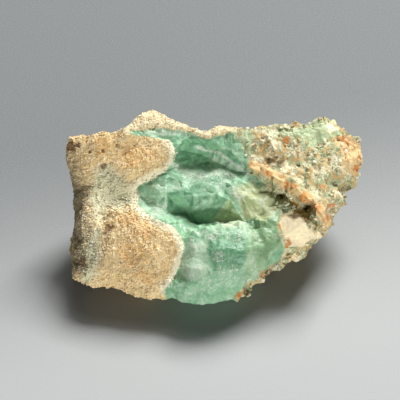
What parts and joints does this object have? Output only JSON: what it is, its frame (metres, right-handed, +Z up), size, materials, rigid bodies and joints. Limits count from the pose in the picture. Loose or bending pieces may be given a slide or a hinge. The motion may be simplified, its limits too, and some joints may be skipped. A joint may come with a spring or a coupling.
{
  "type": "rough fluorite",
  "caption": "Rough natural piece of green fluorite with a sandy quartz crust over one end and a pitted, iron-stained rock matrix over the other, lying on a small flat spot.",
  "frame": {"origin": "on the surface it lies on, under the middle of the bounding box", "axes": "+X along the length, from the sandy crust to the stained matrix; +Y away from the front with the fresh green faces; +Z up as it lies"},
  "size_m": [0.0742, 0.0508, 0.0333],
  "materials": {
    "fluorite": "broken translucent green crystal, glassy on fresh faces and sugary where it is crushed",
    "crust": "matt sandy crust of fine quartz crystals, tan to peach",
    "matrix": "matt, pitted grey-green and cream rock with orange iron stains"
  },
  "bodies": {
    "root": {"rough_fluorite": "fluorite"}
  },
  "joints": []
}
